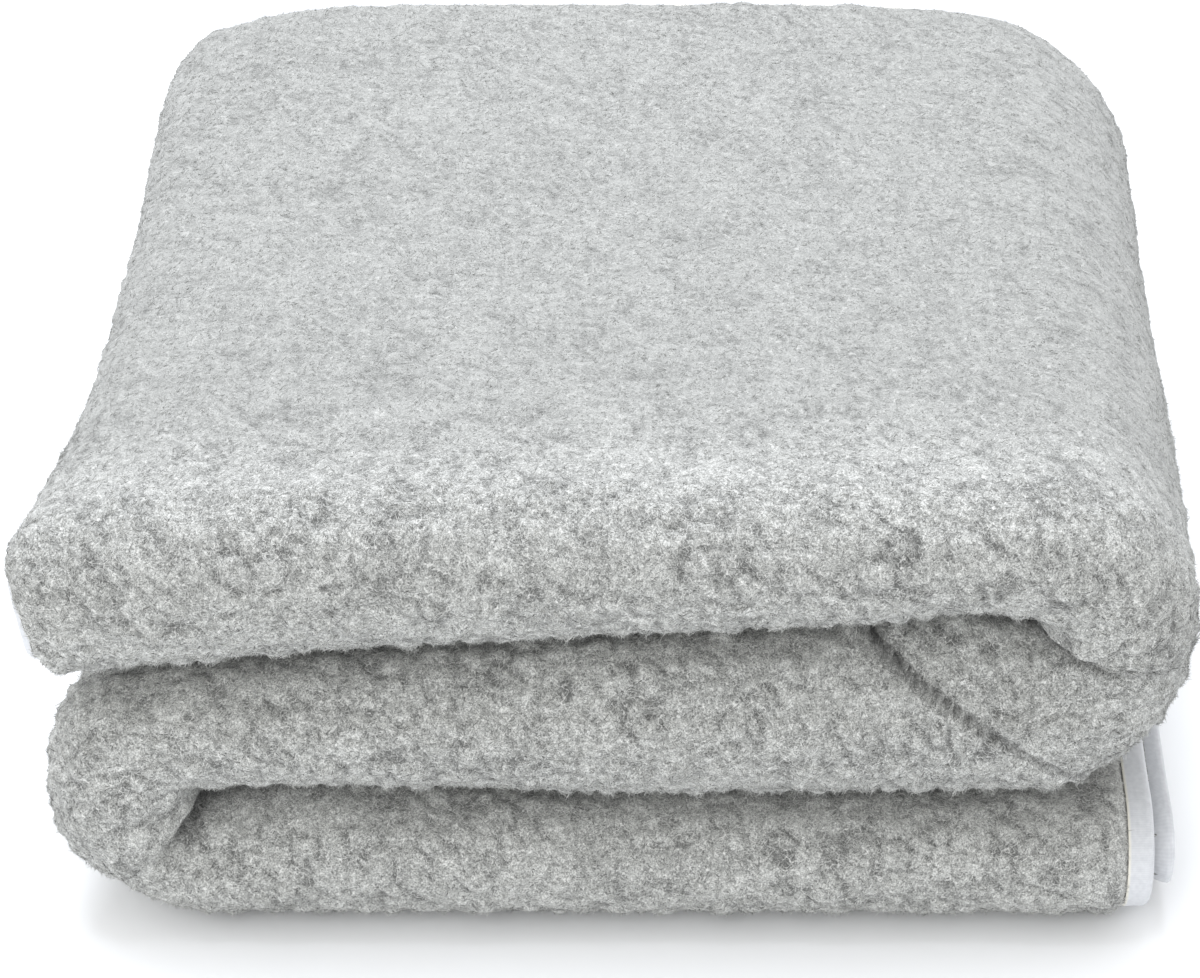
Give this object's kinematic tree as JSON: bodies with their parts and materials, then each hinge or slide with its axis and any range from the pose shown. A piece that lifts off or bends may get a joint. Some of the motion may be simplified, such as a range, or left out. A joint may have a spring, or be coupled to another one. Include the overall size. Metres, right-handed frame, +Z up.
{
  "type": "folded wool blanket",
  "caption": "Double-sided wool pile blanket with a light tape binding, folded lengthwise and then across into a flat stack.",
  "frame": {"origin": "on the floor under the middle of the folded stack", "axes": "+X to the right of the picture's front, +Y to the back, +Z up"},
  "size_m": [0.5208, 0.509, 0.222],
  "materials": {
    "wool_pile": "light grey heathered wool pile, matt and fuzzy",
    "binding_tape": "smooth finely ribbed white woven tape"
  },
  "bodies": {
    "root": {"pile_cloth": "wool_pile", "upper_end_tape": "binding_tape", "lower_end_tape": "binding_tape", "outer_side_tape": "binding_tape", "inner_side_tape": "binding_tape"}
  },
  "joints": []
}
